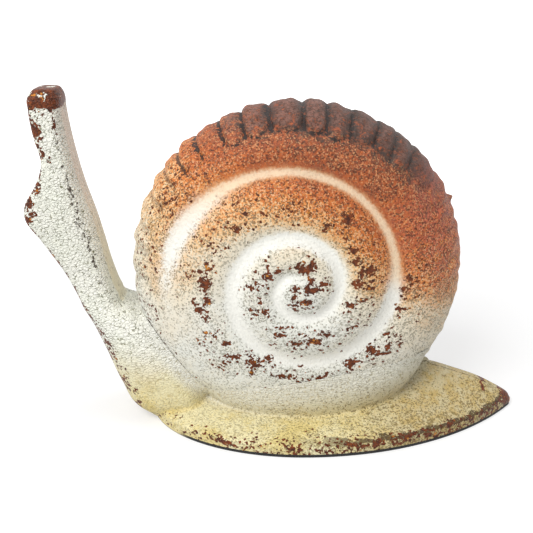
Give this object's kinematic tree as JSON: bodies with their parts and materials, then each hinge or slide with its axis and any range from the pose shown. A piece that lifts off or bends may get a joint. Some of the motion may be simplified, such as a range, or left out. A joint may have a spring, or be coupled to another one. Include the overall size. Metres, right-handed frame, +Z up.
{
  "type": "snail ornament",
  "caption": "Standing snail ornament: hollow painted castings form a leaf-shaped foot, a leaning neck with a blunt head and a scalloped spiral shell, on a padded base.",
  "frame": {"origin": "underside of the pad, below the middle of the object's length and width", "axes": "+Z up, -X towards the nose, +X towards the tail, -Y towards the snail's left side"},
  "size_m": [0.3056, 0.132, 0.207],
  "materials": {
    "body_paint": "crackled white to yellow paint over a rust-brown undercoat, chipped at the edges",
    "shell_paint": "crackled paint shaded from dark brown through orange to white, chipped on the crests",
    "steel": "plain steel, dulled",
    "plate_steel": "mill steel sheet",
    "pad": "black, matt"
  },
  "bodies": {
    "root": {"left_body_half": "body_paint", "right_body_half": "body_paint", "left_shell_half": "shell_paint", "right_shell_half": "shell_paint", "body_screws": "steel", "body_dowels": "steel", "shell_tie_bolt": "steel", "shell_tie_washer": "steel", "shell_dowels": "steel", "base_plate_screws": "steel", "base_plate": "plate_steel", "base_pad": "pad"}
  },
  "joints": []
}
